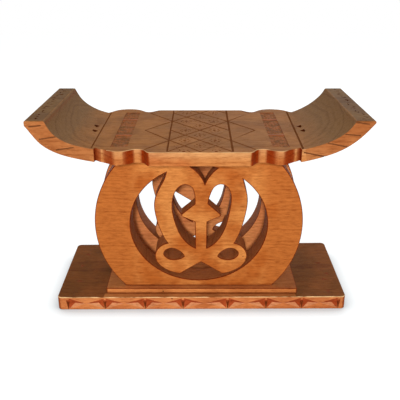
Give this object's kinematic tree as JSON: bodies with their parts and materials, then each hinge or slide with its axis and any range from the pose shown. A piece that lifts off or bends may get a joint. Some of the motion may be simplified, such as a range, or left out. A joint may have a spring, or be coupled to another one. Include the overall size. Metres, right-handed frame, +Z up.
{
  "type": "stool",
  "caption": "Carved hardwood stool: a dished seat with raised ends on two drum panels, each pierced round a curled heart, over a plinth and a thick base plate",
  "frame": {"origin": "on the floor, under the middle of the seat's length and midway between the two panels", "axes": "+X along the seat to the right as seen from the front, +Y from the front to the rear, +Z up"},
  "size_m": [0.54, 0.2875, 0.348],
  "materials": {
    "seat_wood": "satin",
    "panel_wood": "satin",
    "base_wood": "satin",
    "joint_wood": "matte"
  },
  "bodies": {
    "root": {"seat": "seat_wood", "front_panel": "panel_wood", "rear_panel": "panel_wood", "plinth": "base_wood", "base_plate": "base_wood", "seat_dowels": "joint_wood", "tenon_wedges": "joint_wood", "plinth_pegs": "joint_wood"}
  },
  "joints": []
}
